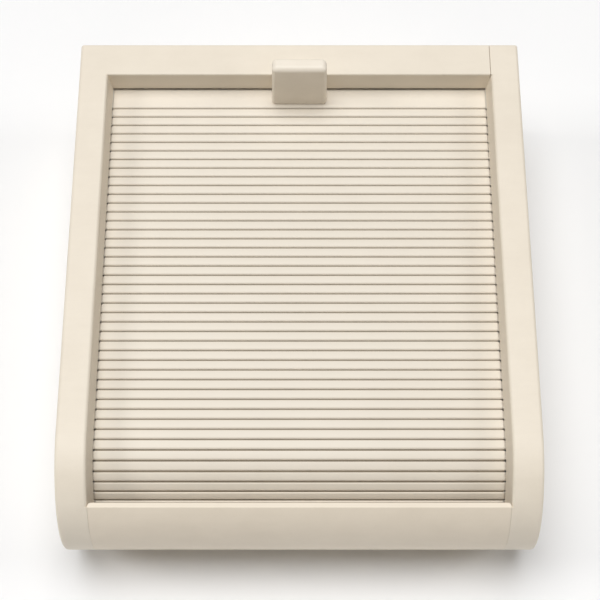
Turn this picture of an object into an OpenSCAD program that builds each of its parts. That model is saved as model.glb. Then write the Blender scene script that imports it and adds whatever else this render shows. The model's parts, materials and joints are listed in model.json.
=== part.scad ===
// Desktop roll-top box: two hollow cheeks joined by a rear rail, a rounded front
// panel, a base and a back, with a tambour of slats that runs in U-shaped tracks
// round the nose of the box and an open storage tray inside the loop.
//
// Millimetres. +X is to the right, +Y to the back and +Z up. The origin is on the
// table, under the middle of the box. A place along the box is often given as a
// run: the distance from the back edge towards the front. A depth is measured
// inwards from the outer skin, at right angles to it.

/* [Body] */
// Overall width across the two cheeks
body_w = 300; // [240:1:380]
// Overall length from the front of the nose to the back edges
body_l = 337.6; // [270:0.1:430]
// Height of the body without its feet, which is also the diameter of the nose
body_h = 114.4; // [95:0.1:150]
// Thickness of the outer walls
wall = 3; // [2:0.25:4]
// Width of the flat rim on top of each cheek
rim_w = 19.45; // [19:0.05:30]
// Length of the rear rail, from the back edge to the opening
rear_rail_l = 24.1; // [22:0.1:40]
// Radius on the outer edges of the cheeks
edge_r = 2.2; // [0.8:0.1:3]
// Radius on the rims' edges at the opening
lip_r = 1.2; // [0.5:0.1:2]

/* [Opening] */
// Depth of the tambour's face below the rims
recess = 18.7; // [12:0.1:24]
// Thickness of the skirts that hang from the rims
skirt_t = 2.5; // [1.5:0.1:3]
// How far a skirt leans into the opening from its top to its foot
skirt_draft = 1.95; // [0:0.05:3]
// Gap between the foot of a skirt and the face of the slats
skirt_gap = 0.4; // [0.2:0.05:1]
// Angle round the nose at which the front panel's upper edge lies
panel_angle = 48.5; // [35:0.5:55]
// Thickness of the front panel
panel_t = 5.2; // [3.6:0.1:6]

/* [Tambour] */
// Distance from one slat to the next along the hinge strips
slat_pitch = 6.64; // [5:0.02:9]
// Gap between two neighbouring slats
slat_gap = 0.6; // [0.2:0.05:1]
// Thickness of a slat
slat_t = 3; // [2:0.1:4]
// Radius on a slat's two upper edges
slat_r = 0.7; // [0.2:0.1:1]
// Depth below the slats' faces of the soft strips that hinge them together
hinge_depth = 1.2; // [0.6:0.1:1.8]
// Thickness of the hinge strips
hinge_t = 0.5; // [0.3:0.1:0.8]
// Distance from the back edge to the groove between the leading bar and the first slat
bar_front = 39.6; // [36:0.1:60]
// Length of the leading bar that stays under the rear rail when closed
bar_tuck = 6; // [3:0.5:10]
// Slats from the start of the nose on, when the tambour is closed
bend_slats = 10; // [7:1:14]
// Play of the slats' ends in the tracks, sideways
end_play = 0.4; // [0.2:0.1:1]

/* [Tracks] */
// Play of a slat in its groove, across its thickness
groove_play = 1.25; // [0.9:0.05:2]
// Depth of the groove from its mouth beside the opening
groove_d = 6.3; // [5:0.1:8]
// Thickness of a track's flanges
track_t = 1.6; // [1:0.1:2.5]
// Distance from the back edge to the rear end of the upper tracks
track_end = 8; // [6:0.5:12]

/* [Tray] */
// Clearance between the tray and the underside of the slats
tray_clear = 3.3; // [2:0.1:6]
// Thickness of the tray's walls and floor
tray_t = 2; // [1.5:0.1:3]
// Gap between each side of the tray and the opening's edge
tray_side_gap = 2.3; // [1:0.1:5]
// Angle round the nose at which the tray's curved front wall ends
tray_angle = 45; // [30:1:70]

/* [Handle] */
// Width of the pull
pull_w = 37.2; // [25:0.1:60]
// Thickness of the pull, front to back
pull_t = 9; // [6:0.1:14]
// Height of the pull above the leading bar
pull_h = 43.5; // [20:0.5:60]
// Distance from the bar's front edge back to the pull's front face
pull_set = 3.1; // [2:0.1:8]
// Radius on the pull's corners as seen from the front
pull_r = 3.2; // [1:0.1:6]
// Height of the flange at the foot of the pull
flange_h = 1.4; // [0.8:0.1:3]
// How far the flange stands out round the pull
flange_out = 1.5; // [0.5:0.1:3]

/* [Feet and fasteners] */
// Height of the rubber feet below the base
foot_h = 3; // [2:0.5:6]
// Radius of the rubber feet
foot_r = 8; // [5:0.5:12]
// Radius of the screws' shanks
screw_r = 1.25; // [1:0.05:1.75]
// Radius of the screws' heads
head_r = 2.8; // [2.2:0.1:3.6]
// Height of the screws' heads
head_h = 1.4; // [1:0.1:1.8]
// Radius of the screw bosses
boss_r = 4.2; // [3.5:0.1:6]

/* [Hidden] */
$fn = 64;

// Clearances between pieces
fit = 0.2;         // between panels that lie side by side
bore_play = 0.05;  // round a screw in its pilot hole
slip = 0.35;       // round a screw in a clearance hole
eps = 0.01;        // overlap of cutting tools past a face

// The nose is a half cylinder across the box, on an axis along X
nose_r = body_h / 2;
y_back = body_l / 2;
y_nose = -body_l / 2 + nose_r;
z_base = foot_h;
z_top = foot_h + body_h;
z_nose = foot_h + nose_r;
flat_l = body_l - nose_r;

// Widths, from the middle of the box
half_w = body_w / 2;
inner_wall = half_w - wall;
open_w = half_w - rim_w;
slat_edge = open_w - skirt_draft;
groove_end = slat_edge + groove_d;
slat_end = groove_end - end_play;

// Depths below the outer skin
skirt_foot = recess - skirt_gap;
slat_foot = recess + slat_t;
groove_top = recess - skirt_gap;
groove_h = slat_t + groove_play;
groove_foot = groove_top + groove_h;
tray_depth = slat_foot + tray_clear;
tray_r = nose_r - tray_depth;

// Runs along the top, from the back edge. The slats that lie wholly on the flat top
// are counted apart from those of the nose.
run_slats = floor((flat_l - bar_front) / slat_pitch);
bar_rear = rear_rail_l - bar_tuck;
bar_l = bar_front - bar_rear - slat_gap / 2;
pull_front = bar_front - pull_set;

// The hinge strips follow a path of constant length, flat and then round the nose.
// Each slat is a chord of it. These give a point of the path as [y, z] and a slat's
// slope from the number of pitches in front of the leading bar.
hinge_r = nose_r - recess - hinge_depth;
function hinge_turn(i) = max(0, bar_front + i * slat_pitch - flat_l) / hinge_r * 180 / PI;
function hinge_at(i) = [
    y_nose + max(0, flat_l - bar_front - i * slat_pitch) - hinge_r * sin(hinge_turn(i)),
    z_nose + hinge_r * cos(hinge_turn(i))
];
function slat_at(i) = (hinge_at(i) + hinge_at(i + 1)) / 2;
function slat_slope(i) =
    atan2(hinge_at(i)[1] - hinge_at(i + 1)[1], hinge_at(i)[0] - hinge_at(i + 1)[0]);

// Screws and bosses
panel_back_inset = 2;
panel_back_t = 2.5;
base_t = 2.5;
base_boss_h = 11;
back_boss_l = 11;
boss_x = inner_wall - boss_r + 0.5;
base_screw_y = [-0.24 * body_l, 0.1 * body_l, 0.41 * body_l];
back_screw_z = [z_nose - 0.22 * body_h, z_nose + 0.22 * body_h];
tray_screw_y = [-0.26 * body_l, 0.06 * body_l, 0.38 * body_l];
ear_run_top = [0.15 * body_l, 0.5 * body_l, 0.78 * body_l];
ear_run_foot = [0.2 * body_l, 0.68 * body_l];
ear_size = 9;
ear_t = 2;
ear_x = inner_wall - 7.2;
skirt_end = panel_angle + 12;
tongue_t = 2.4;
tongue_in = 6;
foot_sink = 1;
foot_x = half_w - 26;
foot_y = [y_nose + 17, y_back - 26];
tray_side = slat_edge - tray_side_gap;
tray_back = y_back - 9;
pad_l = 4;

// ---- Placing sections round the box ----

// A section is drawn with its distance from the nose's axis along x and its place
// across the box along y. These carry it along the top, round the nose and back
// along the bottom.
module along_top(run_0, run_1) {
    translate([0, y_back - run_1, z_nose])
        multmatrix([[0, 1, 0, 0], [0, 0, 1, 0], [1, 0, 0, 0], [0, 0, 0, 1]])
            linear_extrude(run_1 - run_0) children();
}

module round_nose(angle_0, angle_1) {
    translate([0, y_nose, z_nose])
        rotate([90, 0, 90])
            rotate([0, 0, 90 + angle_0])
                rotate_extrude(angle = angle_1 - angle_0) children();
}

module along_foot(run_0, run_1) {
    translate([0, y_back - run_0, z_nose])
        rotate([180, 0, 0])
            multmatrix([[0, 1, 0, 0], [0, 0, 1, 0], [1, 0, 0, 0], [0, 0, 0, 1]])
                linear_extrude(run_1 - run_0) children();
}

// A side view, drawn with y along x and z along y, made solid from x_0 to x_1.
module across(x_0, x_1) {
    translate([x_0, 0, 0])
        rotate([90, 0, 90])
            linear_extrude(x_1 - x_0) children();
}

// A rectangle in a section, from its depths and its places across the box.
module band(depth_0, depth_1, x_0, x_1) {
    translate([nose_r - depth_1, x_0]) square([depth_1 - depth_0, x_1 - x_0]);
}

// What rounding takes off a square corner at the origin, with the solid towards
// -x and in the direction of side along y.
module corner_waste(r, side) {
    difference() {
        translate([-r, side > 0 ? -eps : -r]) square([r + eps, r + eps]);
        translate([-r, side * r]) circle(r);
    }
}

module round_rect(w, h, r) {
    square([w - 2 * r, h], center = true);
    square([w, h - 2 * r], center = true);
    for (x = [-1, 1], y = [-1, 1])
        translate([x * (w / 2 - r), y * (h / 2 - r)]) circle(r);
}

// ---- Fasteners ----

// A pan-head screw, with its shank up +z from the origin and its head below.
module screw(length) {
    color("silver") difference() {
        union() {
            cylinder(r = screw_r, h = length);
            translate([0, 0, -head_h]) cylinder(r = head_r, h = head_h);
        }
        for (turn = [0, 90])
            rotate([0, 0, turn])
                translate([-head_r * 0.6, -0.35, -head_h - eps])
                    cube([head_r * 1.2, 0.7, head_h * 0.6]);
    }
}

module pilot(length) {
    translate([0, 0, -eps]) cylinder(r = screw_r + bore_play, h = length + eps);
}

module clearance_hole(length) {
    translate([0, 0, -eps]) cylinder(r = screw_r + slip, h = length + 2 * eps);
}

// Where each set of screws on the right-hand side stands, with +z into its boss.
module at_base_screws() {
    for (y = base_screw_y) translate([boss_x, y, z_base]) children();
}

module at_back_screws() {
    for (z = back_screw_z)
        translate([boss_x, y_back - panel_back_inset, z]) rotate([90, 0, 0]) children();
}

module at_tray_screws() {
    for (y = tray_screw_y)
        translate([tray_side - tray_t, y, z_nose]) rotate([0, 90, 0]) children();
}

module at_track_screws() {
    for (run = ear_run_top)
        translate([ear_x, y_back - run, z_top - groove_foot - ear_size / 2 - track_t])
            rotate([0, 90, 0]) children();
    for (run = ear_run_foot)
        translate([ear_x, y_back - run, z_base + groove_foot + ear_size / 2 + track_t])
            rotate([0, 90, 0]) children();
}

// ---- Cheeks, with the rear rail on the left one ----

module outer_wall_section() {
    difference() {
        band(0, nose_r, inner_wall, half_w);
        translate([nose_r, half_w]) corner_waste(edge_r, -1);
    }
}

module rim_section() {
    outer_wall_section();
    band(0, wall, open_w, half_w - edge_r);
}

// The skirt hangs from the rim's edge and leans into the opening. It starts inside
// the rim, a little above its underside.
lean_from = wall - 1;

module skirt_section() {
    polygon([
        [nose_r - lean_from, open_w], [nose_r - lean_from, open_w + skirt_t],
        [nose_r - skirt_foot, open_w + skirt_t - skirt_draft],
        [nose_r - skirt_foot, open_w - skirt_draft]
    ]);
}

module lip_waste() {
    translate([nose_r, open_w]) corner_waste(lip_r, 1);
}

module cheek(skirt_run) {
    difference() {
        union() {
            along_top(0, flat_l) rim_section();
            along_top(skirt_run, flat_l) skirt_section();
            round_nose(0, 180) rim_section();
            round_nose(0, skirt_end) skirt_section();
            along_foot(0, flat_l) outer_wall_section();
            at_base_screws() translate([0, 0, base_t + fit]) cylinder(r = boss_r, h = base_boss_h);
            at_back_screws() translate([0, 0, panel_back_t + fit]) cylinder(r = boss_r, h = back_boss_l);
            at_tray_screws() translate([0, 0, tray_t + fit])
                cylinder(r = boss_r, h = inner_wall - tray_side - fit + 1);
            at_track_screws() translate([0, 0, ear_t + fit])
                cylinder(r = boss_r, h = inner_wall - ear_x - ear_t - fit + 1);
        }
        // The rim's edge is rounded as far as the front panel
        along_top(skirt_run, flat_l) lip_waste();
        round_nose(0, panel_angle) lip_waste();
        at_base_screws() pilot(base_boss_h);
        at_back_screws() pilot(back_boss_l);
        at_tray_screws() pilot(12);
        at_track_screws() pilot(8);
    }
}

// The rail's side view: a channel, open below, with its front wall at the opening.
module rail_profile() {
    y_front = y_back - rear_rail_l;
    difference() {
        union() {
            translate([y_front, z_top - wall]) square([rear_rail_l, wall]);
            translate([y_front, z_top - skirt_foot]) square([skirt_t, skirt_foot]);
        }
        translate([y_front, z_top]) rotate([0, 0, 90]) corner_waste(lip_r, -1);
    }
}

// A tongue at the rail's right-hand end lies under the right cheek's rim.
module left_body() {
    color([0.93, 0.89, 0.81]) union() {
        mirror([1, 0, 0]) cheek(rear_rail_l);
        across(-open_w - 0.9, open_w - fit) rail_profile();
        along_top(6, rear_rail_l - skirt_t - 1) {
            band(wall - 1, wall + fit + tongue_t, open_w - fit - tongue_in, open_w - fit);
            band(wall + fit, wall + fit + tongue_t, open_w - fit - tongue_in, open_w + 8);
        }
    }
}

module right_cheek() {
    color([0.93, 0.89, 0.81]) cheek(rear_rail_l + fit);
}

// ---- Panels ----

module front_panel() {
    tongue = wall + fit;
    // The skirts lean in under the panel's edge, so its inner part is narrower
    inner_w = open_w - fit - skirt_draft * (panel_t - lean_from) / (skirt_foot - lean_from);
    color([0.92, 0.88, 0.80]) {
        round_nose(panel_angle, 180) {
            band(0, lean_from, -open_w + fit, open_w - fit);
            band(lean_from, panel_t, -inner_w, inner_w);
        }
        for (side = [0, 1]) mirror([side, 0, 0])
            round_nose(skirt_end + 3, 176) {
                band(lean_from + 0.6, tongue + tongue_t, open_w - fit - tongue_in, open_w - fit);
                band(tongue, tongue + tongue_t, open_w - fit - tongue_in, inner_wall - fit);
            }
    }
}

module back_panel() {
    z_foot = z_base + base_t + fit;
    color([0.90, 0.86, 0.78]) difference() {
        translate([-inner_wall + fit, y_back - panel_back_inset - panel_back_t, z_foot])
            cube([2 * (inner_wall - fit), panel_back_t, z_top - wall - fit - z_foot]);
        for (side = [0, 1]) mirror([side, 0, 0])
            at_back_screws() clearance_hole(panel_back_t);
    }
}

module base_panel() {
    hook_l = 8;
    hook_z = z_base + panel_t + 0.9;
    color([0.88, 0.84, 0.76]) difference() {
        union() {
            translate([-inner_wall + fit, y_nose + fit, z_base])
                cube([2 * (inner_wall - fit), flat_l - 2 * fit, base_t]);
            // A hook along the front edge, which the front panel's lower edge rests on
            translate([-open_w + 12, y_nose + 2, z_base])
                cube([2 * (open_w - 12), hook_l - 2, hook_z - z_base + track_t]);
            translate([-open_w + 12, y_nose - hook_l, hook_z])
                cube([2 * (open_w - 12), 2 * hook_l, track_t]);
        }
        for (side = [0, 1]) mirror([side, 0, 0]) {
            at_base_screws() clearance_hole(base_t);
            for (y = foot_y)
                translate([foot_x, y, z_base - eps]) cylinder(r = foot_r + fit, h = foot_sink + eps);
        }
    }
}

// ---- Tray ----

module tray_profile(inset) {
    r = tray_r - inset;
    translate([y_nose, z_nose]) circle(r);
    translate([y_nose, z_nose - r]) square([tray_back - inset - y_nose, 2 * r]);
}

module inner_tray() {
    color([0.90, 0.86, 0.78]) difference() {
        across(-tray_side, tray_side) tray_profile(0);
        across(-tray_side + tray_t, tray_side - tray_t) tray_profile(tray_t);
        // The open top, back to the tray's rear wall and forward to its curved front wall
        translate([
            -tray_side + tray_t,
            y_nose - tray_r * sin(tray_angle),
            z_nose + tray_r * cos(tray_angle)
        ])
            cube([
                2 * (tray_side - tray_t),
                tray_back - tray_t - y_nose + tray_r * sin(tray_angle),
                tray_r
            ]);
        for (side = [0, 1]) mirror([side, 0, 0])
            at_tray_screws() clearance_hole(tray_t);
    }
}

// ---- Tracks ----

// A C-shaped channel whose mouth faces the slats, on a rib that reaches the wall.
module track_section() {
    rib_foot = groove_foot - 0.3;
    flange_x = open_w + skirt_t - skirt_draft + 0.5;
    band(groove_top - track_t, groove_top, flange_x, groove_end + track_t);
    band(groove_top - track_t, groove_foot + track_t, groove_end, groove_end + track_t);
    band(groove_foot, groove_foot + track_t, slat_edge + 0.7, groove_end + track_t);
    band(rib_foot - track_t, rib_foot, groove_end + track_t - eps, inner_wall - fit / 2);
}

module track_ear() {
    translate([-ear_size / 2 - track_t - 0.5, -ear_size / 2, 0])
        cube([ear_size + track_t + 0.5, ear_size, ear_t]);
}

module track() {
    color([0.94, 0.93, 0.90]) difference() {
        union() {
            along_top(track_end, flat_l) track_section();
            round_nose(0, 180) track_section();
            along_foot(rear_rail_l, flat_l) track_section();
            for (run = ear_run_top)
                translate([ear_x, y_back - run, z_top - groove_foot - ear_size / 2 - track_t])
                    rotate([0, 90, 0]) track_ear();
            for (run = ear_run_foot)
                translate([ear_x, y_back - run, z_base + groove_foot + ear_size / 2 + track_t])
                    rotate([0, 90, 0]) rotate([0, 0, 180]) track_ear();
        }
        at_track_screws() clearance_hole(ear_t);
    }
}

// A rubber block pressed into the groove behind the leading bar.
module stop_pad() {
    color([0.22, 0.22, 0.22])
        along_top(bar_rear - pad_l, bar_rear - 0.1)
            band(groove_top, groove_foot, slat_edge + 2.8, groove_end);
}

// ---- Tambour ----

// A slat's end view, with its foot on the x axis and its upper edges rounded.
module slat_profile() {
    w = slat_pitch - slat_gap;
    translate([-w / 2, 0]) square([w, slat_t - slat_r]);
    translate([-w / 2 + slat_r, 0]) square([w - 2 * slat_r, slat_t]);
    for (side = [-1, 1])
        translate([side * (w / 2 - slat_r), slat_t - slat_r]) circle(slat_r, $fn = 24);
}

module slats(first, last) {
    color([0.94, 0.91, 0.84])
        for (i = [first : last])
            across(-slat_end, slat_end)
                translate(slat_at(i)) rotate(slat_slope(i))
                    translate([0, hinge_depth - slat_t]) slat_profile();
}

// The soft strips in the grooves, each a little narrower than its groove in the nose.
module hinges(first, last) {
    color([0.62, 0.58, 0.50])
        for (i = [first : last]) {
            slope = i == 0 ? 0 : (slat_slope(i - 1) + slat_slope(i)) / 2;
            w = slope == 0 ? slat_gap : slat_gap - 0.12;
            across(-slat_edge + 1, slat_edge - 1)
                translate(hinge_at(i)) rotate(slope) square([w, hinge_t], center = true);
        }
}

// ---- Leading bar and pull ----

bar_half = slat_edge - 1;
tenon_l = 4;
tenon_t = 1.6;

module at_handle_screws() {
    for (x = [-1, 1])
        translate([x * pull_w * 0.3, y_back - pull_front + pull_t / 2, z_top - slat_foot])
            children();
}

module leading_bar() {
    mid_t = (slat_t - tenon_t) / 2;
    y_rear = y_back - bar_rear;
    color([0.94, 0.91, 0.84]) difference() {
        union() {
            across(-bar_half, bar_half)
                translate([y_rear - bar_l, z_top - slat_foot]) difference() {
                    square([bar_l, slat_t]);
                    translate([0, slat_t]) rotate([0, 0, 90]) corner_waste(slat_r, -1);
                    translate([bar_l, slat_t]) rotate([0, 0, 90]) corner_waste(slat_r, 1);
                }
            translate([-bar_half - tenon_l, y_rear - bar_l + 2, z_top - slat_foot + mid_t])
                cube([2 * (bar_half + tenon_l), bar_l - 4, tenon_t]);
        }
        at_handle_screws() clearance_hole(slat_t);
    }
}

// A nylon cap on the bar's end, which slides in the track.
module glide() {
    mid_t = (slat_t - tenon_t) / 2;
    y_rear = y_back - bar_rear;
    color([0.94, 0.93, 0.90]) difference() {
        translate([bar_half + bore_play, y_rear - bar_l, z_top - slat_foot - 0.3])
            cube([slat_end - bar_half - bore_play, bar_l, slat_t + 0.5]);
        translate([bar_half - eps, y_rear - bar_l + 2 - bore_play, z_top - slat_foot + mid_t - bore_play])
            cube([tenon_l + 2 * bore_play, bar_l - 4 + 2 * bore_play, tenon_t + 2 * bore_play]);
    }
}

// The pull is what three rounded views share: from above, from the front and from the side.
module pull_handle() {
    z_bar = z_top - recess;
    y_mid = y_back - pull_front + pull_t / 2;
    side_r = min(pull_r, pull_t / 2 - 0.2);
    color([0.93, 0.89, 0.81]) difference() {
        translate([0, y_mid, z_bar]) union() {
            intersection() {
                linear_extrude(pull_h) round_rect(pull_w, pull_t, side_r);
                translate([0, pull_t, 0]) rotate([90, 0, 0]) linear_extrude(2 * pull_t)
                    translate([0, (pull_h - pull_r) / 2])
                        round_rect(pull_w, pull_h + pull_r, pull_r);
                translate([-pull_w, 0, 0]) rotate([90, 0, 90]) linear_extrude(2 * pull_w)
                    translate([0, (pull_h - side_r) / 2])
                        round_rect(pull_t, pull_h + side_r, side_r);
            }
            linear_extrude(flange_h)
                round_rect(pull_w + 2 * flange_out, pull_t + 2 * flange_out, side_r + flange_out);
        }
        at_handle_screws() pilot(slat_t + 12);
    }
}

// ---- Feet ----

module foot(x, y) {
    color([0.20, 0.20, 0.20]) translate([x, y, 0]) {
        cylinder(r = foot_r, h = foot_h + foot_sink);
    }
}

left_body();
right_cheek();
front_panel();
back_panel();
base_panel();
inner_tray();
mirror([1, 0, 0]) track();  // left_track
track();  // right_track
mirror([1, 0, 0]) stop_pad();  // left_stop_pad
stop_pad();  // right_stop_pad
slats(0, run_slats - 1);  // tambour_run_slats
slats(run_slats, run_slats + bend_slats - 1);  // tambour_bend_slats
hinges(0, run_slats - 1);  // tambour_run_hinges
hinges(run_slats, run_slats + bend_slats - 1);  // tambour_bend_hinges
leading_bar();
mirror([1, 0, 0]) glide();  // left_glide
glide();  // right_glide
pull_handle();
at_handle_screws() screw(10);  // handle_screws
for (side = [0, 1]) mirror([side, 0, 0]) at_base_screws() screw(10);  // base_screws
for (side = [0, 1]) mirror([side, 0, 0]) at_back_screws() screw(10);  // back_screws
mirror([1, 0, 0]) at_tray_screws() screw(10);  // left_tray_screws
at_tray_screws() screw(10);  // right_tray_screws
mirror([1, 0, 0]) at_track_screws() screw(7);  // left_track_screws
at_track_screws() screw(7);  // right_track_screws
foot(-foot_x, foot_y[0]);  // foot_front_left
foot(foot_x, foot_y[0]);  // foot_front_right
foot(-foot_x, foot_y[1]);  // foot_rear_left
foot(foot_x, foot_y[1]);  // foot_rear_right
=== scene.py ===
import json
import math

import bmesh
import bpy
from mathutils import Matrix, Vector

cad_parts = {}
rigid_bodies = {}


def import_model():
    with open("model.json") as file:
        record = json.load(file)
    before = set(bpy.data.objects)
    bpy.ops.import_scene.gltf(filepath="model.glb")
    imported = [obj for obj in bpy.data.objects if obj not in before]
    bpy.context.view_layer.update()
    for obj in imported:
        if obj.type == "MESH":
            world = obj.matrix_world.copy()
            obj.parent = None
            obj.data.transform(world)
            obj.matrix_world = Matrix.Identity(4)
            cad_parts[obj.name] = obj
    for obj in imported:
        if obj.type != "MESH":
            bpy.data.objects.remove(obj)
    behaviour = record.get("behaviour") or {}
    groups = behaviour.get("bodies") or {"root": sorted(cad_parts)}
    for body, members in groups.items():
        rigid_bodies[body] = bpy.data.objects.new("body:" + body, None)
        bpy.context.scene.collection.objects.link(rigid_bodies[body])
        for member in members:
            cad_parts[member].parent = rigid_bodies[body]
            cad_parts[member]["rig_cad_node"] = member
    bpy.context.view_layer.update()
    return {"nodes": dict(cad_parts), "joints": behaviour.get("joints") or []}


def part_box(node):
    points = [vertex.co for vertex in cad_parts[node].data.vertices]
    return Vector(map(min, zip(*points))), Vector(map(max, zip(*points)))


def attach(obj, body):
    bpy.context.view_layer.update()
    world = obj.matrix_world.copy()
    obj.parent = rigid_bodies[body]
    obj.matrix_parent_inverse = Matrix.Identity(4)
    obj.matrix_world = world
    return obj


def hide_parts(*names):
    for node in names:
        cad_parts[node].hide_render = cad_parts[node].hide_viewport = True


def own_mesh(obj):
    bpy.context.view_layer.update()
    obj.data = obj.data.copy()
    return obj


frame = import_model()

MM = 0.001

# ---------------------------------------------------------------- sizes, in metres

cheek_low, cheek_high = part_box("right_cheek")
slats_low, slats_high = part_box("tambour_run_slats")
_, strips_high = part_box("tambour_run_hinges")
bar_low, bar_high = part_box("leading_bar")
pull_low, pull_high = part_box("pull_handle")

# The case: a box with a half-round nose
HALF_W = cheek_high.x
BACK_Y = cheek_high.y
TOP = cheek_high.z
NOSE_R = (cheek_high.z - cheek_low.z) / 2
NOSE_Y = cheek_low.y + NOSE_R
NOSE_Z = cheek_low.z + NOSE_R
WALL = 3 * MM
SLAT_EDGE = strips_high.x + 1 * MM     # where the skirts' feet reach above the slats
DRAFT = 1.95 * MM                      # lean of the skirts into the opening
OPEN = SLAT_EDGE + DRAFT
INNER = HALF_W - WALL
FIT = 0.2 * MM
FACE_DEPTH = TOP - slats_high.z        # from the rims down to the slats' faces
SKIRT_FOOT = FACE_DEPTH - 0.4 * MM     # skirts and rail stop just above the slats
SKIRT_T = 2.5 * MM
SKIRT_FROM = 2.4 * MM                  # depth at which the lean starts
SKIRT_EDGE_R = 0.8 * MM
RAIL_L = 24.1 * MM
RAIL_Y = BACK_Y - RAIL_L
EDGE_R = 2.2 * MM                      # outer edges of the cheeks
LIP_R = 2.2 * MM                       # inner edges of the cheeks' rims
RAIL_LIP_R = 1.3 * MM
SEAM_R = 0.45 * MM                     # where the right cheek meets the rail
PANEL_SEAM_R = 0.15 * MM               # where the cheeks meet the front panel
BACK_R = 1.2 * MM
PANEL_FROM = 48.5                      # degrees round the nose at the front panel's upper edge
PANEL_T = 5.2 * MM
SKIRT_TO = PANEL_FROM + 12             # degrees round the nose where the skirts end
PLATE_DEPTH = 12 * MM                  # below this a cheek is only its side wall

# The tambour
PITCH, GAP = 6.655 * MM, 0.8 * MM
STRIP_T = 0.5 * MM
SLAT_T = slats_high.z - slats_low.z
HINGE_DEPTH = 1.2 * MM
HINGE_R = NOSE_R - FACE_DEPTH - HINGE_DEPTH
FIRST = BACK_Y - bar_low.y + GAP / 2   # run from the back edge to the first groove
FLAT = BACK_Y - NOSE_Y
RUN_SLATS = round((slats_high.y - slats_low.y + GAP) / PITCH)
BEND_SLATS = 10


# ---------------------------------------------------------------- node trees

class Wire:
    """A socket in a node tree, with arithmetic on it and a way to make any other node."""

    def __init__(self, tree, socket=None):
        self.tree, self.socket = tree, socket

    def put(self, target, value):
        if isinstance(value, Wire):
            self.tree.links.new(value.socket, target)
        else:
            target.default_value = value

    def node(self, kind, settings=None, sockets=None, output=0):
        made = self.tree.nodes.new(kind)
        for name, value in (settings or {}).items():
            setattr(made, name, value)
        for name, value in (sockets or {}).items():
            by_id = [s for s in made.inputs if s.identifier == name]
            self.put(by_id[0] if by_id else made.inputs[name], value)
        by_id = [s for s in made.outputs if s.identifier == output]
        return Wire(self.tree, by_id[0] if by_id else made.outputs[output])

    def math(self, operation, *values):
        return self.node("ShaderNodeMath", {"operation": operation}, dict(enumerate(values)))

    def __add__(self, other):
        return self.math("ADD", self, other)

    def __sub__(self, other):
        return self.math("SUBTRACT", self, other)

    def __mul__(self, other):
        return self.math("MULTIPLY", self, other)

    def __truediv__(self, other):
        return self.math("DIVIDE", self, other)

    __radd__ = __add__

    def at_least(self, low):
        return self.math("MAXIMUM", self, low)

    def at_most(self, high):
        return self.math("MINIMUM", self, high)

    def sine(self):
        return self.math("SINE", self)

    def cosine(self):
        return self.math("COSINE", self)

    def slope(self, level):
        return self.math("ARCTAN2", self, level)


def new_material(name):
    """A material with a Principled shader, and a wire and its shader to build on."""
    made = bpy.data.materials.new(name)
    made.use_nodes = True
    tree = made.node_tree
    tree.nodes.clear()
    shader = tree.nodes.new("ShaderNodeBsdfPrincipled")
    out = tree.nodes.new("ShaderNodeOutputMaterial")
    tree.links.new(shader.outputs["BSDF"], out.inputs["Surface"])
    return made, Wire(tree), shader


def noise(wire, place, scale, detail=3.0, rough=0.55):
    return wire.node(
        "ShaderNodeTexNoise", {"noise_dimensions": "3D"},
        {"Vector": place, "Scale": scale, "Detail": detail, "Roughness": rough}, "Fac")


def stretched(wire, place, scale):
    return wire.node("ShaderNodeMapping", {}, {"Vector": place, "Scale": scale})


def blended(wire, share, first, second, how="MIX"):
    return wire.node(
        "ShaderNodeMix", {"data_type": "RGBA", "blend_type": how},
        {"Factor_Float": share, "A_Color": first, "B_Color": second}, "Result_Color")


def opaque(colour):
    return (*colour, 1.0)


def moulded(name, colour, cloud, grain=0.10, rough=0.52):
    """Matt moulded plastic: cloudy tone, a fine spark-eroded grain and faint flow marks."""
    made, wire, shader = new_material(name)
    place = wire.node("ShaderNodeTexCoord", output="Object")
    broad = noise(wire, place, 14.0, 2.0)
    patchy = noise(wire, place, 55.0, 4.0, 0.62)
    flow = noise(wire, stretched(wire, place, (0.5, 2.4, 1.2)), 90.0, 3.0)
    fine = noise(wire, place, 1500.0, 2.0, 0.5)
    coarse = noise(wire, place, 420.0, 2.0, 0.5)
    darker = opaque(c * (1 - cloud * k) for c, k in zip(colour, (1.0, 1.25, 1.7)))
    lighter = opaque(min(1.0, c * (1 + cloud * k)) for c, k in zip(colour, (0.9, 0.85, 0.7)))
    share = ((broad - 0.5) * 1.1 + (patchy - 0.5) * 1.3 + (flow - 0.5) * 0.6 + 0.5)
    share = share.at_least(0.0).at_most(1.0)
    tone = blended(wire, share, darker, lighter)
    speck = ((fine - 0.62) * 2.2).at_least(0.0).at_most(0.35)
    tone = blended(wire, speck, tone, opaque(c * 0.86 for c in colour))
    wire.put(shader.inputs["Base Color"], tone)
    wire.put(shader.inputs["Roughness"], (patchy - 0.5) * 0.16 + (fine - 0.5) * 0.10 + rough)
    relief = fine * 0.5 + coarse * 0.5
    wire.put(shader.inputs["Normal"], wire.node(
        "ShaderNodeBump", {}, {
            "Strength": grain, "Distance": 0.12 * MM, "Height": relief}, "Normal"))
    shader.inputs["IOR"].default_value = 1.49
    return made


def rubber(name, colour):
    """Dark moulded rubber with a dusty bloom and a pebbled skin."""
    made, wire, shader = new_material(name)
    place = wire.node("ShaderNodeTexCoord", output="Object")
    dust = noise(wire, place, 260.0, 4.0, 0.65)
    pebble = noise(wire, place, 1300.0, 2.0)
    share = ((dust - 0.45) * 2.0).at_least(0.0).at_most(1.0)
    wire.put(shader.inputs["Base Color"], blended(
        wire, share, opaque(colour), opaque(c * 1.9 + 0.012 for c in colour)))
    wire.put(shader.inputs["Roughness"], 0.72 + (dust - 0.5) * 0.25)
    wire.put(shader.inputs["Normal"], wire.node(
        "ShaderNodeBump", {}, {
            "Strength": 0.25, "Distance": 0.2 * MM, "Height": pebble}, "Normal"))
    return made


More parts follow.
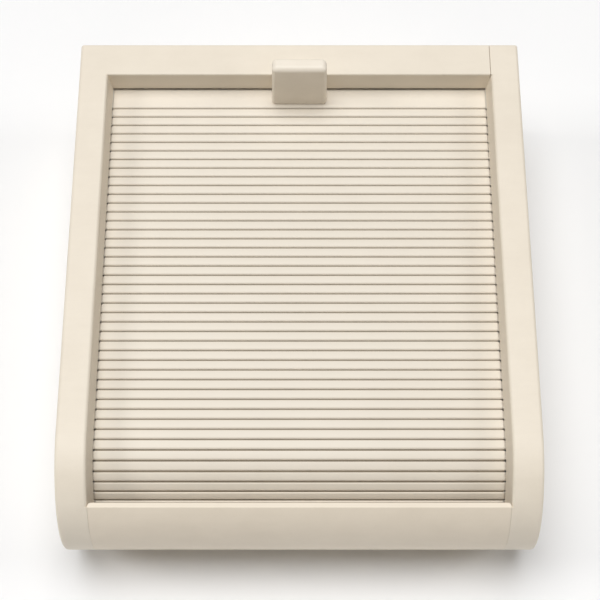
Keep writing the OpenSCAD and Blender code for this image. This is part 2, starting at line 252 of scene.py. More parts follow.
def plated(name):
    """Bright zinc plating with fine turning marks and dull patches."""
    made, wire, shader = new_material(name)
    place = wire.node("ShaderNodeTexCoord", output="Object")
    patch = noise(wire, place, 900.0, 3.0)
    scuff = noise(wire, stretched(wire, place, (1.0, 1.0, 6.0)), 1600.0, 2.0)
    wire.put(shader.inputs["Base Color"], blended(
        wire, patch, opaque((0.46, 0.47, 0.49)), opaque((0.68, 0.68, 0.66))))
    shader.inputs["Metallic"].default_value = 1.0
    wire.put(shader.inputs["Roughness"], 0.26 + patch * 0.22)
    wire.put(shader.inputs["Normal"], wire.node(
        "ShaderNodeBump", {}, {"Strength": 0.2, "Distance": 0.05 * MM, "Height": scuff}, "Normal"))
    return made


BODY = moulded("body_plastic", (0.820, 0.745, 0.632), cloud=0.035)
PANEL = moulded("panel_plastic", (0.825, 0.735, 0.610), cloud=0.035)
TRAY = moulded("tray_plastic", (0.70, 0.63, 0.52), cloud=0.04, rough=0.58)
SLAT = moulded("slat_plastic", (0.795, 0.730, 0.630), cloud=0.022, grain=0.08, rough=0.50)
PULL = moulded("pull_plastic", (0.875, 0.805, 0.700), cloud=0.04, grain=0.07, rough=0.45)
# The hinge strips are real parts, but their dark brown tone is partly painted shade, standing in for
# the shade in the grooves between the slats
STRIP_PAINTED_GROOVE_SHADE = moulded("soft_strip", (0.24, 0.195, 0.14), cloud=0.08, grain=0.05, rough=0.7)
NYLON = moulded("track_nylon", (0.72, 0.70, 0.64), cloud=0.03, grain=0.03, rough=0.36)
PAD = rubber("pad_rubber", (0.030, 0.030, 0.031))
FOOT = rubber("foot_rubber", (0.024, 0.024, 0.025))
STEEL = plated("zinc_steel")


# ---------------------------------------------------------------- mesh work

SAME_POINT = 2e-6
NO_LENGTH = 1e-6


def arc(centre, radius, start, end, steps):
    """Points of an arc, with its angles in degrees from the first axis to the second."""
    turns = [math.radians(start + (end - start) * i / steps) for i in range(steps + 1)]
    return [(centre[0] + radius * math.cos(t), centre[1] + radius * math.sin(t)) for t in turns]


def new_object(name, mesh):
    made = bpy.data.objects.new(name, mesh)
    bpy.context.scene.collection.objects.link(made)
    return made


def finished(name, shape):
    """Merges double points, drops what collapsed, turns faces outwards and makes the object."""
    bmesh.ops.remove_doubles(shape, verts=shape.verts, dist=SAME_POINT)
    bmesh.ops.dissolve_degenerate(shape, dist=NO_LENGTH, edges=shape.edges)
    bmesh.ops.recalc_face_normals(shape, faces=shape.faces)
    mesh = bpy.data.meshes.new(name)
    shape.to_mesh(mesh)
    shape.free()
    return new_object(name, mesh)


def joined(shape, ring_a, ring_b):
    """Faces between two closed rings of vertices, point by point."""
    for i in range(len(ring_a)):
        j = (i + 1) % len(ring_a)
        shape.faces.new((ring_a[i], ring_a[j], ring_b[j], ring_b[i]))


def from_rings(name, rings):
    """A closed skin over rings of as many points each, capped at both ends."""
    shape = bmesh.new()
    rows = [[shape.verts.new(p) for p in ring] for ring in rings]
    for a, b in zip(rows, rows[1:]):
        joined(shape, a, b)
    shape.faces.new(rows[0][::-1])
    shape.faces.new(rows[-1])
    return finished(name, shape)


def simplified(mesh, degrees):
    """Merges a mesh's double points and the faces that lie in one plane to within an angle."""
    shape = bmesh.new()
    shape.from_mesh(mesh)
    bmesh.ops.remove_doubles(shape, verts=shape.verts, dist=SAME_POINT)
    bmesh.ops.dissolve_limit(
        shape, angle_limit=math.radians(degrees), verts=shape.verts, edges=shape.edges)
    shape.to_mesh(mesh)
    shape.free()


def baked(obj):
    """The object with its modifiers worked into a plain mesh."""
    graph = bpy.context.evaluated_depsgraph_get()
    mesh = bpy.data.meshes.new_from_object(
        obj.evaluated_get(graph), preserve_all_data_layers=True, depsgraph=graph)
    obj.modifiers.clear()
    old, obj.data = obj.data, mesh
    mesh.name = obj.name
    bpy.data.meshes.remove(old)
    return obj


def smoothed(obj, angle=32):
    """Smooth shading on rounded places that leaves the flats flat."""
    obj.data.shade_smooth()
    obj.data.set_sharp_from_angle(angle=math.radians(angle))
    weighted = obj.modifiers.new("weighted", "WEIGHTED_NORMAL")
    weighted.keep_sharp = True
    return baked(obj)


def cut(obj, tool, operation):
    """A boolean between two closed meshes, worked in at once."""
    made = obj.modifiers.new("cut", "BOOLEAN")
    made.operation, made.object, made.solver = operation, tool, "EXACT"
    bpy.context.view_layer.update()
    baked(obj)
    bpy.data.objects.remove(tool)
    simplified(obj.data, 0.2)
    return obj


def softened(name, node, width):
    """A copy of a CAD node, merged, with its sharp edges broken."""
    obj = new_object(name, frame["nodes"][node].data.copy())
    simplified(obj.data, 0.5)
    if obj.data.attributes.get("custom_normal"):
        obj.data.attributes.remove(obj.data.attributes["custom_normal"])
    obj.data.materials.clear()
    bevel = obj.modifiers.new("broken_edges", "BEVEL")
    bevel.width, bevel.segments, bevel.angle_limit = width, 2, math.radians(40)
    bevel.limit_method, bevel.use_clamp_overlap = "ANGLE", True
    bpy.context.view_layer.update()
    return smoothed(baked(obj))


def dress(obj, material, body="case", nodes=()):
    """Gives a piece its material, slot and body, and hides the CAD nodes it stands for."""
    if "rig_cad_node" in obj:
        for place in obj.material_slots:
            place.material = material
    else:
        obj.data.materials.clear()
        obj.data.materials.append(material)
        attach(obj, body)
        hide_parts(*nodes)
    return obj


# ---------------------------------------------------------------- camera, light and floor

FLOOR_HALF = 4.0


def look():
    scene = bpy.context.scene
    data = bpy.data.cameras.new("camera")
    data.lens, data.sensor_width = 92.76, 36.0
    camera = new_object("camera", data)
    camera.location = (0.0004, BACK_Y - 0.5929, TOP + 0.8998)
    camera.rotation_euler = (math.radians(24.0), 0.0, 0.0)
    scene.camera = camera

    world = bpy.data.worlds.new("studio")
    world.use_nodes = True
    background = world.node_tree.nodes["Background"]
    background.inputs["Color"].default_value = (1.0, 1.0, 1.0, 1.0)
    background.inputs["Strength"].default_value = 0.05
    scene.world = world

    def softbox(name, height, half_angle, left, back, power, tint):
        """A round lamp over the box, leaning to the left and to the back by angles in degrees."""
        data = bpy.data.lights.new(name, "AREA")
        data.shape, data.energy, data.color = "DISK", power, tint
        data.size = 2 * height * math.tan(math.radians(half_angle))
        lamp = new_object(name, data)
        lamp.location = (-height * math.tan(math.radians(left)),
                         height * math.tan(math.radians(back)), height)
        lamp.rotation_euler = (-lamp.location).to_track_quat("-Z", "Y").to_euler()

    softbox("overhead_softbox", 10.0, 20.0, 3.4, 6.5, 835.0, (1.0, 1.0, 1.0))
    softbox("left_fill", 3.0, 14.0, 52.0, 0.0, 50.0, (1.0, 0.985, 0.96))
    softbox("right_fill", 3.0, 14.0, -52.0, 0.0, 36.0, (1.0, 0.985, 0.96))
    softbox("front_fill", 1.2, 20.0, 0.0, -72.0, 12.0, (1.0, 0.95, 0.87))
    scene.view_settings.view_transform = "Standard"

    mesh = bpy.data.meshes.new("floor")
    corners = [(x * FLOOR_HALF, y * FLOOR_HALF, 0)
               for x, y in ((-1, -1), (1, -1), (1, 1), (-1, 1))]
    mesh.from_pydata(corners, [], [(0, 1, 2, 3)])
    floor = new_object("floor", mesh)
    made, wire, shader = new_material("floor_paper")
    place = wire.node("ShaderNodeTexCoord", output="Object")
    fibre = noise(wire, place, 8.0, 2.0)
    wire.put(shader.inputs["Base Color"], blended(
        wire, fibre, opaque((0.915, 0.917, 0.923)), opaque((0.925, 0.927, 0.933))))
    shader.inputs["Roughness"].default_value = 0.95
    shader.inputs["Specular IOR Level"].default_value = 0.0
    mesh.materials.append(made)


look()


# ---------------------------------------------------------------- the two shells

def on_top(point, y):
    depth, x = point
    return (x, y, NOSE_Z + NOSE_R - depth)


def on_nose(point, degrees):
    depth, x = point
    turn = math.radians(degrees)
    r = NOSE_R - depth
    return (x, NOSE_Y - r * math.sin(turn), NOSE_Z + r * math.cos(turn))


def on_foot(point, y):
    depth, x = point
    return (x, y, NOSE_Z - NOSE_R + depth)


def skirt_x(depth):
    return OPEN - DRAFT * (depth - SKIRT_FROM) / (SKIRT_FOOT - SKIRT_FROM)


def shell_section(lip, skirt, inset=0.0):
    """Half of a cheek's section as (depth, x): side wall, outer edge, rim and skirt."""
    foot_r = SKIRT_EDGE_R
    line = [(PLATE_DEPTH, HALF_W - inset)]
    line += arc((EDGE_R, HALF_W - EDGE_R), EDGE_R - inset, 90, 180, 7)
    line += arc((lip + inset, OPEN + lip), lip, 180, 270, 6)
    low = SKIRT_FOOT - foot_r
    if skirt:
        line.append((SKIRT_FROM, OPEN))
        line += arc((low, skirt_x(low) + foot_r), foot_r, 270, 360, 4)
        line += arc((low, skirt_x(low) + SKIRT_T - foot_r), foot_r, 0, 90, 4)
        line.append((WALL, skirt_x(WALL) + SKIRT_T))
    else:
        line += [(max(lip + inset, SKIRT_FROM), OPEN)] + [(WALL, OPEN)] * 11
    return line + [(WALL, INNER), (PLATE_DEPTH, INNER)]


def foot_section(inset=0.0):
    """The same number of points for the flat underside, where a cheek is only its side wall."""
    line = [(PLATE_DEPTH, HALF_W - inset)]
    line += arc((EDGE_R, HALF_W - EDGE_R), EDGE_R - inset, 90, 180, 7)
    return line + [(inset, INNER)] * 20 + [(PLATE_DEPTH, INNER)]


def shell(name, side, seam_lip, skirt_start):
    """A hollow cheek: a flat run with a C-shaped section, then the rim carried round the nose.

    Behind skirt_start, where the rail comes, it has no skirt and seam_lip as its rim's edge.
    """
    shape = bmesh.new()

    def row(points):
        return [shape.verts.new((side * x, y, z)) for x, y, z in points]

    flat_rings = []
    for i in range(6):
        turn = math.radians(90 * i / 5)
        inset, y = BACK_R * (1 - math.sin(turn)), BACK_Y - BACK_R * (1 - math.cos(turn))
        flat_rings.append((y, shell_section(seam_lip, False, inset), foot_section(inset)))
    for y, lip, skirt in ((skirt_start, seam_lip, False), (skirt_start, LIP_R, True),
                          (NOSE_Y, LIP_R, True)):
        flat_rings.append((y, shell_section(lip, skirt), foot_section()))
    rows = []
    for y, over, under in flat_rings:
        rows.append((row([on_top(p, y) for p in over]), row([on_foot(p, y) for p in under])))
    for (top_a, foot_a), (top_b, foot_b) in zip(rows, rows[1:]):
        joined(shape, top_a + foot_a[::-1], top_b + foot_b[::-1])
    shape.faces.new(rows[0][0] + rows[0][1][::-1])

    nose = [rows[-1][0]]
    stops = [(PANEL_FROM * i / 18, LIP_R, True) for i in range(1, 19)]
    stops += [(PANEL_FROM + (SKIRT_TO - PANEL_FROM) * i / 4, PANEL_SEAM_R, True) for i in range(5)]
    stops += [(SKIRT_TO + (180 - SKIRT_TO) * i / 44, PANEL_SEAM_R, False) for i in range(45)]
    for degrees, lip, skirt in stops:
        nose.append(row([on_nose(p, degrees) for p in shell_section(lip, skirt)]))
    nose.append(rows[-1][1])
    for a, b in zip(nose, nose[1:]):
        for i in range(len(a) - 1):
            shape.faces.new((a[i], a[i + 1], b[i + 1], b[i]))
    shape.faces.new([line[0] for line in nose])
    shape.faces.new([line[-1] for line in nose])
    return finished(name, shape)


def rail_ring(x, inset):
    """The rear rail's section at x: a channel, open below, with its front wall at the opening."""
    foot_r, lip, plate_foot = SKIRT_EDGE_R, RAIL_LIP_R, TOP - WALL + 0.2 * MM
    foot_z = TOP - SKIRT_FOOT + inset
    line = [(BACK_Y - inset, plate_foot)]
    line += arc((BACK_Y - BACK_R, TOP - BACK_R), BACK_R - inset, 0, 90, 5)
    line += arc((RAIL_Y + lip, TOP - lip), lip - inset, 90, 180, 6)
    line += arc((RAIL_Y + inset + foot_r, foot_z + foot_r), foot_r, 180, 270, 4)
    line += arc((RAIL_Y + SKIRT_T - foot_r, foot_z + foot_r), foot_r, 270, 360, 4)
    line.append((RAIL_Y + SKIRT_T, plate_foot))
    return [(x, y, z) for y, z in line]


def left_shell():
    """The left cheek and the rear rail in one, with a soft edge at the rail's right end."""
    obj = shell("left_body_shell", -1, RAIL_LIP_R, RAIL_Y + 1.0 * MM)
    rings = [rail_ring(-OPEN - 2.3 * MM, 0.0)]
    for i in range(5):
        turn = math.radians(90 * i / 4)
        seam_x = OPEN - FIT - SEAM_R * (1 - math.sin(turn))
        rings.append(rail_ring(seam_x, SEAM_R * (1 - math.cos(turn))))
    rail = from_rings("rail", rings)
    return smoothed(cut(obj, rail, "UNION"))


dress(left_shell(), BODY, nodes=["left_body"])
dress(smoothed(shell("right_cheek_shell", 1, SEAM_R, RAIL_Y)), BODY,
      nodes=["right_cheek"])


# ---------------------------------------------------------------- the front panel

def front_panel():
    """The lip and the whole curved front, bent round the nose, with a tongue under each rim."""
    half = OPEN - 0.08 * MM
    ledge, ledge_r, corner_r, ledge_drop = 3.3 * MM, 0.7 * MM, 2.4 * MM, 0.4 * MM
    lean, skin_t = 12, 2 * MM
    narrow = half - DRAFT * (PANEL_T - SKIRT_FROM) / (SKIRT_FOOT - SKIRT_FROM)
    tongue_t, tongue_foot = 2.4 * MM, half - 6 * MM
    level = NOSE_R * math.cos(math.radians(PANEL_FROM))
    front = NOSE_R * math.sin(math.radians(PANEL_FROM))

    def ring(out, up, turn, width, thick, tongued=False):
        """A section with its skin at out and up from the nose's axis, going in at a turn."""
        side_r = PANEL_SEAM_R
        line = arc((side_r, width - side_r), side_r, 180, 90, 3)
        tongue = WALL + FIT
        if tongued:
            line += [(skin_t, width), (tongue, width), (tongue, INNER - FIT),
                     (tongue + tongue_t, INNER - FIT), (tongue + tongue_t, tongue_foot)]
        else:
            inner = min(narrow, width - 0.1 * MM)
            # As many points as with a tongue: the doubles merge later
            line += [(skin_t, width)] + [(skin_t, inner)] * 2 + [(thick, inner)] * 2
        line.append((thick, tongue_foot))
        t = math.radians(turn)
        points = [(x, NOSE_Y - out + d * math.sin(t), NOSE_Z + up - d * math.cos(t))
                  for d, x in line]
        return points[::-1] + [(-x, y, z) for x, y, z in points]

    def corner_width(run):
        """Half the width at a run from the ledge's rear edge, where its corners are rounded."""
        left = max(corner_r - run, 0.0)
        return half - (corner_r - math.sqrt(corner_r ** 2 - left ** 2))

    # The ledge is level on top, with a small radius where it meets the skin
    centre_turn = math.degrees(math.acos((level - ledge_r) / (NOSE_R - ledge_r)))
    centre_out = (NOSE_R - ledge_r) * math.sin(math.radians(centre_turn))
    rings = [ring(front - ledge, level - ledge_drop, 0, corner_width(0.0) - 0.1 * MM, 3.5 * MM)]
    for share in (0.03, 0.1, 0.2, 0.33, 0.5, 0.75, 1.0):
        run = share * (centre_out - front + ledge)
        drop = ledge_drop * max(0.0, 1 - run / (0.35 * MM)) ** 2
        rings.append(ring(front - ledge + run, level - drop, lean * share, corner_width(run),
                          3.8 * MM + share * MM))
    for i in range(1, 6):
        t = math.radians(centre_turn * i / 5)
        rings.append(ring(centre_out + ledge_r * math.sin(t),
                          level - ledge_r + ledge_r * math.cos(t),
                          lean + (centre_turn - lean) * i / 5, half, PANEL_T))
    tongue_from, tongue_to = SKIRT_TO + 3, 176.0

    def skin(degrees, tongued=False, sunk=0.0):
        t = math.radians(degrees)
        return ring((NOSE_R - sunk) * math.sin(t), (NOSE_R - sunk) * math.cos(t), degrees, half,
                    PANEL_T - sunk, tongued)

    rings += [skin(centre_turn + (tongue_from - centre_turn) * i / 6) for i in range(1, 7)]
    rings += [skin(tongue_from + (tongue_to - tongue_from) * i / 40, True) for i in range(41)]
    rings += [skin(tongue_to), skin(179.4), skin(180.0, sunk=0.35 * MM)]
    return smoothed(from_rings("front_panel_skin", rings))


dress(front_panel(), PANEL, nodes=["front_panel"])


# ---------------------------------------------------------------- slats and strips

def rounded_box_ring(x, y_half, z_low, z_high, rear_r, foot_r, y_mid=0.0, front_r=None):
    """A section across x, with radii for its upper rear edge, upper front edge and feet."""
    front_r = front_r or rear_r
    line = arc((y_mid + y_half - rear_r, z_high - rear_r), rear_r, 0, 90, 4)
    line += arc((y_mid - y_half + front_r, z_high - front_r), front_r, 90, 180, 6)
    line += arc((y_mid - y_half + foot_r, z_low + foot_r), foot_r, 180, 270, 1)
    line += arc((y_mid + y_half - foot_r, z_low + foot_r), foot_r, 270, 360, 1)
    return [(x, y, z) for y, z in line]


def shouldered(name, y_half, z_low, z_high, face_end, end, rear_r, front_r, end_r, y_mid=0.0):
    """A bar along x: a full section to face_end, rounded there, and a thinner tongue to end."""
    half = []
    for i in range(5):
        turn = math.radians(90 * i / 4)
        s = end_r * (1 - math.cos(turn))
        half.append(rounded_box_ring(
            face_end - end_r * (1 - math.sin(turn)), y_half - s * 0.6, z_low + s * 0.3,
            z_high - s, max(rear_r - s * 0.4, 0.1 * MM), 0.2 * MM, y_mid, front_r - s * 0.3))
    if end > face_end:
        low, high = z_low + 0.35 * MM, z_high - 0.75 * MM
        for x, r in ((face_end, 0.35 * MM), (end - 0.2 * MM, 0.35 * MM)):
            half.append(rounded_box_ring(x, y_half - 0.25 * MM, low, high, r, 0.2 * MM, y_mid))
        half.append(rounded_box_ring(
            end, y_half - 0.4 * MM, low + 0.15 * MM, high - 0.15 * MM, 0.3 * MM, 0.15 * MM, y_mid))
    other = [[(-x, y, z) for x, y, z in ring] for ring in half[::-1]]
    return from_rings(name, other + half)


def curtain_tree(name, at_joints):
    """Copies of the blank along the tambour's path, flat and then round the nose."""
    tree = bpy.data.node_groups.new(name, "GeometryNodeTree")
    face = tree.interface
    face.new_socket("Geometry", in_out="INPUT", socket_type="NodeSocketGeometry")
    for label, kind in (("Count", "Int"), ("Start", "Float"), ("First", "Float"),
                        ("Pitch", "Float"), ("Flat", "Float"), ("Radius", "Float"),
                        ("Nose Y", "Float"), ("Nose Z", "Float"), ("Material", "Material")):
        face.new_socket(label, in_out="INPUT", socket_type="NodeSocket" + kind)
    face.new_socket("Geometry", in_out="OUTPUT", socket_type="NodeSocketGeometry")
    wire = Wire(tree)
    given = tree.nodes.new("NodeGroupInput")

    def size(label):
        return Wire(tree, given.outputs[label])

    index = wire.node("GeometryNodeInputIndex") + size("Start")
    radius = size("Radius")

    def joint(k):
        """Where the joint k pitches in front of the leading bar lies, as y and z."""
        run = k * size("Pitch") + size("First")
        turn = (run - size("Flat")).at_least(0.0) / radius
        y = size("Nose Y") + (size("Flat") - run).at_least(0.0) - radius * turn.sine()
        return y, size("Nose Z") + radius * turn.cosine()

    def tilt(a, b):
        return (a[1] - b[1]).slope(a[0] - b[0])

    here, ahead = joint(index), joint(index + 1.0)
    if at_joints:
        y, z = here
        lean = (tilt(joint(index - 1.0), here) + tilt(here, ahead)) * 0.5
    else:
        y, z = (here[0] + ahead[0]) * 0.5, (here[1] + ahead[1]) * 0.5
        lean = tilt(here, ahead)
    points = wire.node("GeometryNodeMeshLine", {"mode": "OFFSET"}, {
        "Count": size("Count"), "Offset": (0.0, 0.0, 0.0)})
    placed = wire.node("GeometryNodeSetPosition", {}, {
        "Geometry": points, "Position": wire.node("ShaderNodeCombineXYZ", {}, {"Y": y, "Z": z})})
    turned = wire.node("FunctionNodeEulerToRotation", {}, {
        "Euler": wire.node("ShaderNodeCombineXYZ", {}, {"X": lean})})
    copies = wire.node("GeometryNodeInstanceOnPoints", {}, {
        "Points": placed, "Instance": size("Geometry"), "Rotation": turned})
    real = wire.node("GeometryNodeRealizeInstances", {}, {"Geometry": copies})
    done = wire.node("GeometryNodeSetMaterial", {}, {
        "Geometry": real, "Material": size("Material")})
    out = tree.nodes.new("NodeGroupOutput")
    tree.links.new(done.socket, out.inputs["Geometry"])
    return tree


def grown(obj, tree, values):
    """Runs a tree on a blank, with its inputs set by identifier, and keeps the plain mesh."""
    made = obj.modifiers.new(tree.name, "NODES")
    made.node_group = tree
    for item in tree.interface.items_tree:
        if item.item_type == "SOCKET" and item.in_out == "INPUT" and item.name in values:
            made[item.identifier] = values[item.name]
    bpy.context.view_layer.update()
    return baked(obj)


SLAT_TREE = curtain_tree("slats_along_the_path", False)
STRIP_TREE = curtain_tree("strips_along_the_path", True)
TRAVEL = next(j for j in frame["joints"] if j["name"] == "tambour_slide")["range_m"][1]
RUN_END = FIRST + RUN_SLATS * PITCH
BEND_END_GAP = RUN_END - FIRST - TRAVEL


def along_path(name, blank, tree, count, start, material, node):
    blank.name = name
    blank.data.materials.append(material)
    obj = grown(blank, tree, {
        "Count": count, "Start": float(start), "First": FIRST, "Pitch": PITCH, "Flat": FLAT,
        "Radius": HINGE_R, "Nose Y": NOSE_Y, "Nose Z": NOSE_Z, "Material": material})
    obj.data.shade_smooth()
    obj.data.set_sharp_from_angle(angle=math.radians(50))
    dress(obj, material, nodes=[node])
    if start == 0:
        max(BEND_END_GAP / (RUN_END - FIRST), 0.002)
        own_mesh(obj)
    return obj


def slat_blank():
    return shouldered("slat", (PITCH - GAP) / 2, HINGE_DEPTH - SLAT_T, HINGE_DEPTH,
                      SLAT_EDGE - 0.25 * MM, slats_high.x, 0.4 * MM, 1.5 * MM, 0.6 * MM)


def strip_blank(width):
    half, thick = strips_high.x, STRIP_T / 2
    return from_rings("strip", [rounded_box_ring(x, width / 2, -thick, thick, 0.1 * MM, 0.1 * MM)
                                for x in (-half, half)])


along_path("tambour_run_slats_fine", slat_blank(), SLAT_TREE, RUN_SLATS, 0, SLAT,
           "tambour_run_slats")
along_path("tambour_bend_slats_fine", slat_blank(), SLAT_TREE, BEND_SLATS, RUN_SLATS, SLAT,
           "tambour_bend_slats")
along_path("tambour_run_strips", strip_blank(GAP), STRIP_TREE, RUN_SLATS, 0, STRIP_PAINTED_GROOVE_SHADE,
           "tambour_run_hinges")
along_path("tambour_bend_strips", strip_blank(GAP - 0.12 * MM), STRIP_TREE, BEND_SLATS, RUN_SLATS,
           STRIP_PAINTED_GROOVE_SHADE, "tambour_bend_hinges")


# ---------------------------------------------------------------- leading bar and pull

def leading_bar():
    """A flat bar with soft long edges. Its thinner rear tongue goes under the rail."""
    bar = shouldered(
        "leading_bar_fine", (bar_high.y - bar_low.y) / 2, bar_low.z, bar_high.z,
        SLAT_EDGE - 0.3 * MM, bar_high.x, 0.6 * MM, 1.5 * MM, 0.4 * MM, (bar_high.y + bar_low.y) / 2)
    step, wide = RAIL_Y - 1.3 * MM, bar_high.x + 1 * MM
    floor_z, ceiling_z = bar_high.z - 1.4 * MM, bar_high.z + 1 * MM
    rear = bar_high.y + 1 * MM
    rings = [[(x, step, floor_z), (x, step, ceiling_z), (x, rear, ceiling_z), (x, rear, floor_z)]
             for x in (-wide, wide)]
    return smoothed(cut(bar, from_rings("step", rings), "DIFFERENCE"))


def glide(node):
    """A nylon cap on the end of the leading bar, rounded where it runs into its track."""
    low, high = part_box(node)
    side = 1 if high.x > 0 else -1
    far = max(abs(low.x), abs(high.x))
    y_mid, y_half = (low.y + high.y) / 2, (high.y - low.y) / 2
    rings = []
    for x, s in ((SLAT_EDGE - 0.2 * MM, 0.25 * MM), (SLAT_EDGE, 0.0), (far - 0.8 * MM, 0.0),
                 (far - 0.25 * MM, 0.2 * MM), (far, 0.7 * MM)):
        rings.append(rounded_box_ring(side * x, y_half - s, low.z + s * 0.6,
                                      high.z - 0.2 * MM - s * 0.6, 0.5 * MM, 0.3 * MM, y_mid))
    cap = smoothed(from_rings(node + "_cap", rings))
    return dress(cap, NYLON, "curtain_head", [node])


def plan_ring(z, half_x, half_y, radius, y_mid):
    """A rounded rectangle seen from above."""
    radius = min(radius, half_x - 0.05 * MM, half_y - 0.05 * MM)
    line = []
    for start, sx, sy in ((0, 1, 1), (90, -1, 1), (180, -1, -1), (270, 1, -1)):
        centre = (sx * (half_x - radius), y_mid + sy * (half_y - radius))
        line += arc(centre, radius, start, start + 90, 7)
    return [(x, y, z) for x, y in line]


def pull():
    """A flat upright grip with soft edges, narrower towards its top, on a thin foot plate."""
    flange = 1.5 * MM
    front, rear = pull_low.y + flange, pull_high.y - flange
    z_0, z_1 = pull_low.z, pull_high.z
    root, head = pull_high.x - flange + 0.25 * MM, pull_high.x - flange - 0.35 * MM
    front_r, rear_r, side_r, root_r, upright_r = 3.6 * MM, 1.5 * MM, 3.2 * MM, 2.2 * MM, 2.6 * MM

    def sunk(radius, above):
        """How far a rounded edge of that radius has drawn in at a height above where it starts."""
        above = min(max(above, 0.0), radius)
        return radius - math.sqrt(radius ** 2 - above ** 2)

    heights = [root_r * (1 - math.cos(math.radians(90 * i / 6))) for i in range(7)]
    tall = z_1 - z_0
    heights += [root_r + (tall - front_r - root_r) * i / 6 for i in range(1, 6)]
    heights += [tall - front_r * (1 - math.sin(math.radians(90 * i / 12))) for i in range(13)]
    rings = []
    for z in heights:
        share = z / tall
        low_in = sunk(root_r, root_r - z) * 0.8
        x_in = sunk(side_r, z - (tall - side_r)) + low_in
        front_in = sunk(front_r, z - (tall - front_r)) + low_in * 0.3
        rear_in = sunk(rear_r, z - (tall - rear_r))
        half_x = root + (head - root) * share - x_in
        y_0, y_1 = front + front_in, rear - rear_in
        corner_r = max(upright_r - 0.35 * (front_in + rear_in), 0.8 * MM)
        rings.append(plan_ring(z_0 + z, half_x, (y_1 - y_0) / 2, corner_r, (y_0 + y_1) / 2))
    grip = from_rings("pull_grip", rings)
    plate_y = (front + rear) / 2 + 1.2 * MM
    plate = []
    for z, s in ((0.0, 0.0), (0.6 * MM, 0.0), (0.8 * MM, 0.1 * MM), (0.95 * MM, 0.35 * MM),
                 (1.0 * MM, 0.7 * MM)):
        plate.append(plan_ring(z_0 + z, pull_high.x - 0.8 * MM - s,
                               (rear - front) / 2 - 0.9 * MM - s, 3.0 * MM - s, plate_y))
    return smoothed(cut(grip, from_rings("foot_plate", plate), "UNION"), 40)


dress(leading_bar(), SLAT, "curtain_head", ["leading_bar"])
dress(pull(), PULL, "curtain_head", ["pull_handle"])
glide("left_glide")
glide("right_glide")


# ---------------------------------------------------------------- screws and feet

def lathe(name, profile, steps=32):
    """A turned shape from (radius, height) pairs, closed on its axis at both ends."""
    rings = []
    for radius, z in profile:
        rings.append([(radius * math.cos(2 * math.pi * i / steps),
                       radius * math.sin(2 * math.pi * i / steps), z) for i in range(steps)])
    return from_rings(name, rings)


HEAD_H, HEAD_R, SHANK_R = 1.4 * MM, 2.8 * MM, 1.25 * MM


def screw_blank(node, axis):
    """A pan-head screw with a cross recess, its shank along +z from the underside of its head."""
    low, high = island_boxes(node)[0]
    length = max((high - low)[i] * abs(axis[i]) for i in range(3))
    profile = [(0.0, -HEAD_H), (1.4 * MM, -HEAD_H + 0.04 * MM)]
    for t in (math.radians(a) for a in (75, 55, 35, 15, 0)):
        profile.append((HEAD_R - 0.9 * MM + 0.9 * MM * math.cos(t),
                        -HEAD_H + 1.0 * MM - 0.96 * MM * math.sin(t)))
    profile += [(HEAD_R, 0.0), (SHANK_R, 0.0)]
    z, tip = 0.8 * MM, length - HEAD_H
    while z < tip - 1.6 * MM:
        profile += [(SHANK_R, z), (SHANK_R - 0.22 * MM, z + 0.35 * MM)]
        z += 0.7 * MM
    profile += [(SHANK_R, tip - 1.2 * MM), (0.5 * MM, tip - 0.1 * MM), (0.0, tip)]
    obj = lathe("screw", profile, 24)
    arm = bmesh.new()
    for wide, narrow in ((1.7, 0.36), (0.36, 1.7)):
        made = bmesh.ops.create_cube(arm, size=1.0)
        bmesh.ops.scale(arm, vec=(2 * wide * MM, 2 * narrow * MM, 1.8 * MM), verts=made["verts"])
        bmesh.ops.translate(arm, vec=(0, 0, -HEAD_H), verts=made["verts"])
    mesh = bpy.data.meshes.new("cross")
    arm.to_mesh(mesh)
    arm.free()
    tool = new_object("cross", mesh)
    made = obj.modifiers.new("recess", "BOOLEAN")
    made.operation, made.object, made.solver, made.use_self = "DIFFERENCE", tool, "EXACT", True
    bpy.context.view_layer.update()
    baked(obj)
    bpy.data.objects.remove(tool)
    return smoothed(obj, 35)


def island_boxes(node):
    """The box of every separate solid in a CAD node, in order along x, y and z."""
    shape = bmesh.new()
    shape.from_mesh(frame["nodes"][node].data)
    bmesh.ops.remove_doubles(shape, verts=shape.verts, dist=SAME_POINT)
    left, found = set(shape.verts), []
    while left:
        pile, group = [left.pop()], []
        while pile:
            vert = pile.pop()
            group.append(vert.co.copy())
            for edge in vert.link_edges:
                other = edge.other_vert(vert)
                if other in left:
                    left.remove(other)
                    pile.append(other)
        low = Vector([min(p[i] for p in group) for i in range(3)])
        found.append((low, Vector([max(p[i] for p in group) for i in range(3)])))
    shape.free()
    return sorted(found, key=lambda b: tuple(round(v, 5) for v in b[0]))


def screw_tree():
    """A copy of the blank at each point, all turned the same way."""
    tree = bpy.data.node_groups.new("screws_at_points", "GeometryNodeTree")
    face = tree.interface
    for label, kind in (("Geometry", "Geometry"), ("Blank", "Object"), ("Turn", "Vector"),
                        ("Material", "Material")):
        face.new_socket(label, in_out="INPUT", socket_type="NodeSocket" + kind)
    face.new_socket("Geometry", in_out="OUTPUT", socket_type="NodeSocketGeometry")
    wire = Wire(tree)
    given = tree.nodes.new("NodeGroupInput")
    blank = wire.node("GeometryNodeObjectInfo", {}, {
        "Object": Wire(tree, given.outputs["Blank"])}, "Geometry")
    turned = wire.node("FunctionNodeEulerToRotation", {}, {
        "Euler": Wire(tree, given.outputs["Turn"])})
    copies = wire.node("GeometryNodeInstanceOnPoints", {}, {
        "Points": Wire(tree, given.outputs["Geometry"]), "Instance": blank, "Rotation": turned})
    real = wire.node("GeometryNodeRealizeInstances", {}, {"Geometry": copies})
    done = wire.node("GeometryNodeSetMaterial", {}, {
        "Geometry": real, "Material": Wire(tree, given.outputs["Material"])})
    out = tree.nodes.new("NodeGroupOutput")
    tree.links.new(done.socket, out.inputs["Geometry"])
    return tree


SCREW_TREE = screw_tree()


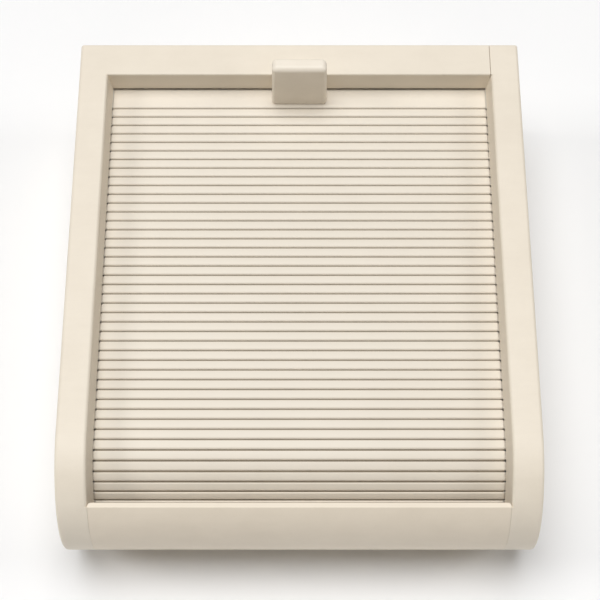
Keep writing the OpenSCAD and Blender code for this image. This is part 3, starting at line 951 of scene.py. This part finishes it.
def screws(node, axis, body="case"):
    """Detailed screws where the CAD node has plain ones. axis points from the head to the tip."""
    axis = Vector(axis)
    places = []
    for low, high in island_boxes(node):
        middle = (low + high) / 2
        reach = sum(abs(axis[i]) * (high[i] - low[i]) for i in range(3)) / 2
        places.append(middle - axis * (reach - HEAD_H))
    mesh = bpy.data.meshes.new(node)
    mesh.from_pydata([tuple(p) for p in places], [], [])
    obj = new_object(node + "_fine", mesh)
    blank = screw_blank(node, axis)
    turn = Vector((0, 0, 1)).rotation_difference(axis).to_euler()
    grown(obj, SCREW_TREE, {"Blank": blank, "Turn": tuple(turn), "Material": STEEL})
    bpy.data.objects.remove(blank)
    return dress(obj, STEEL, body, [node])


screws("handle_screws", (0, 0, 1), "curtain_head")
screws("base_screws", (0, 0, 1))
screws("back_screws", (0, -1, 0))
for kind in ("tray", "track"):
    screws("left_" + kind + "_screws", (-1, 0, 0))
    screws("right_" + kind + "_screws", (1, 0, 0))


def foot(node):
    """A rubber foot: a flared disc with a rounded tread and a shallow dimple below."""
    low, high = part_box(node)
    r, h = (high.x - low.x) / 2, high.z - low.z
    profile = [(0.0, 0.7 * MM), (r * 0.34, 0.7 * MM), (r * 0.46, 0.35 * MM), (r * 0.55, 0.05 * MM),
               (r * 0.62, 0.0), (r - 1.3 * MM, 0.0)]
    profile += arc((r - 1.0 * MM, 1.0 * MM), 1.0 * MM, 290, 360, 4)
    profile += [(r - 0.25 * MM, h - 0.5 * MM), (r - 0.55 * MM, h - 0.1 * MM),
                (r - 1.0 * MM, h), (0.0, h)]
    obj = lathe(node + "_pad", profile, 48)
    obj.data.transform(Matrix.Translation(((low.x + high.x) / 2, (low.y + high.y) / 2, low.z)))
    return dress(smoothed(obj, 40), FOOT, nodes=[node])


for foot_node in ("foot_front_left", "foot_front_right", "foot_rear_left", "foot_rear_right"):
    foot(foot_node)


# ---------------------------------------------------------------- panels, tray, tracks

for node_name, edge, finish, slot_name in (("back_panel", 0.5 * MM, PANEL, "panel_ivory"),
                                           ("base_panel", 0.5 * MM, PANEL, "panel_ivory"),
                                           ("inner_tray", 0.6 * MM, TRAY, "tray_ivory")):
    dress(softened(node_name + "_soft", node_name, edge), finish, nodes=[node_name])
for kind, finish, slot_name in (("_track", NYLON, "track_nylon"),
                                ("_stop_pad", PAD, "pad_rubber")):
    for side_name in ("left", "right"):
        dress(frame["nodes"][side_name + kind], finish)
